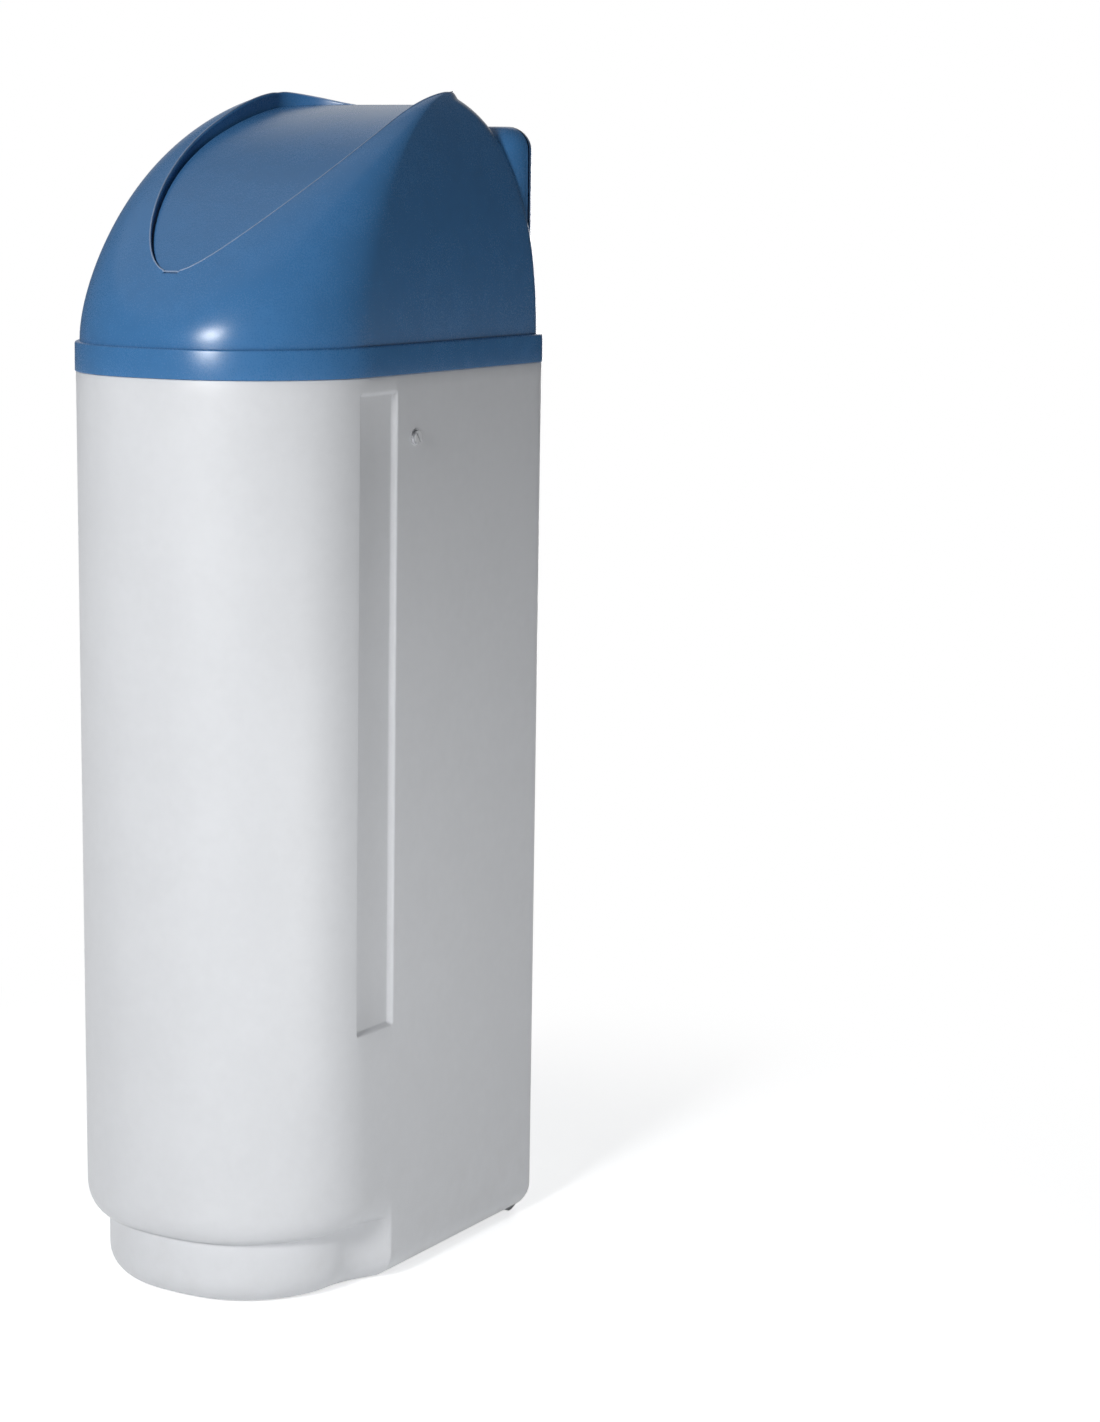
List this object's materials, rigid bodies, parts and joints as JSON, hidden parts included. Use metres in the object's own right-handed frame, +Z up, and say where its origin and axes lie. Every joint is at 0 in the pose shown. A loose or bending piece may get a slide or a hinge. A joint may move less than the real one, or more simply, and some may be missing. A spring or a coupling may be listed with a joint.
{
  "type": "water softener",
  "caption": "Cabinet water softener: white tub with salt lid, resin tank and cam-driven control valve under a blue lift-off hood with a rocking visor.",
  "frame": {"origin": "centre of the footprint on the floor", "axes": "+Z up, the front with the display faces -Y, +X is the right of the front view"},
  "size_m": [0.3166, 0.4917, 1.155],
  "materials": {
    "body_white": "satin blow-moulded plastic",
    "hood_blue": "semi-gloss moulded plastic",
    "lid_black": "semi-gloss",
    "black": "fine grain",
    "charcoal": "fine grain",
    "tank_grey": "satin",
    "resin": "beads in water",
    "rubber": "soft",
    "steel": "brushed",
    "brass": "drawn",
    "trim_white": "smooth",
    "cap_grey": "satin",
    "face_pale": "printed film",
    "display": "clear over grey",
    "panel_grey": "satin",
    "board_green": "lacquered",
    "clear": "clear moulded plastic",
    "frosted": "translucent",
    "rotor_blue": "satin",
    "cable_grey": "smooth sheath"
  },
  "bodies": {
    "base": {"air_check_cup": "clear", "bezel": "black", "bezel_lip": "black", "brass_stem": "brass", "brine_tube": "frosted", "brine_well": "body_white", "button_panel": "panel_grey", "cabinet": "body_white", "circuit_board": "board_green", "cover_latches": "black", "cup_elbow": "frosted", "cup_socket": "black", "deck_screws": "steel", "disc_spring": "steel", "drain_barb": "trim_white", "drive_motor": "steel", "elbow_nut": "frosted", "face_plate": "face_pale", "float_valve": "trim_white", "inspection_caps": "cap_grey", "lcd_window": "display", "lower_strainer": "charcoal", "manifold": "black", "manifold_bolts": "steel", "meter_cage": "trim_white", "neck_seal": "rubber", "overflow_elbow": "black", "resin_bed": "resin", "resin_tank": "tank_grey", "riser_tube": "tank_grey", "salt_grid": "body_white", "sensor_cable": "cable_grey", "tank_adapter": "black", "tank_boot": "black", "tank_neck": "body_white", "top_deck": "body_white", "upper_strainer": "charcoal", "valve_body": "black", "valve_cover": "charcoal", "valve_discs": "tank_grey", "valve_top_plate": "charcoal", "water_ports": "black", "well_cap": "black"},
    "hood": {"hood": "hood_blue", "visor_bushes": "black"},
    "visor": {"visor": "hood_blue", "visor_pins": "steel"},
    "salt_lid": {"salt_lid": "lid_black"},
    "button_down": {"button_down": "trim_white"},
    "button_set": {"button_set": "trim_white"},
    "button_up": {"button_up": "trim_white"},
    "button_start": {"button_start": "trim_white"},
    "camshaft": {"camshaft": "trim_white", "cam_gear": "trim_white"},
    "pinion": {"motor_pinion": "brass"},
    "meter_rotor": {"meter_rotor": "rotor_blue"},
    "brine_float": {"brine_float": "trim_white"},
    "air_check_ball": {"air_check_ball": "trim_white"}
  },
  "joints": [
    {"name": "hood_lift", "type": "slide", "parent": "base", "child": "hood", "axis": [0, 0, 1], "range_m": [0, 0.33]},
    {"name": "visor_hinge", "type": "hinge", "parent": "hood", "child": "visor", "pos_m": [0, 0.112, 1.13263], "axis": [-1, 0, 0], "range_deg": [0, 78]},
    {"name": "salt_lid_lift", "type": "slide", "parent": "base", "child": "salt_lid", "axis": [0, 0, 1], "range_m": [0, 0.025]},
    {"name": "button_down_press", "type": "slide", "parent": "base", "child": "button_down", "axis": [0, 0.9336, -0.3584], "range_m": [0, 0.001], "stiffness_N_per_m": 400},
    {"name": "button_set_press", "type": "slide", "parent": "base", "child": "button_set", "axis": [0, 0.9336, -0.3584], "range_m": [0, 0.001], "stiffness_N_per_m": 400},
    {"name": "button_up_press", "type": "slide", "parent": "base", "child": "button_up", "axis": [0, 0.9336, -0.3584], "range_m": [0, 0.001], "stiffness_N_per_m": 400},
    {"name": "button_start_press", "type": "slide", "parent": "base", "child": "button_start", "axis": [0, 0.9336, -0.3584], "range_m": [0, 0.001], "stiffness_N_per_m": 400},
    {"name": "cam_turn", "type": "hinge", "parent": "base", "child": "camshaft", "pos_m": [0, 0.045, 1.0473], "axis": [0, 1, 0], "continuous": true},
    {"name": "pinion_turn", "type": "hinge", "parent": "base", "child": "pinion", "pos_m": [-0.0324, 0.045, 1.0473], "axis": [0, 1, 0], "continuous": true},
    {"name": "meter_turn", "type": "hinge", "parent": "base", "child": "meter_rotor", "pos_m": [-0.036, 0.201, 0.949], "axis": [0, 1, 0], "continuous": true},
    {"name": "float_rise", "type": "slide", "parent": "base", "child": "brine_float", "axis": [0, 0, 1], "range_m": [0, 0.06]},
    {"name": "ball_rise", "type": "slide", "parent": "base", "child": "air_check_ball", "axis": [0, 0, 1], "range_m": [0, 0.03]}
  ],
  "couplings": [
    {"joint": "pinion_turn", "follows": "cam_turn", "ratio": -3}
  ]
}
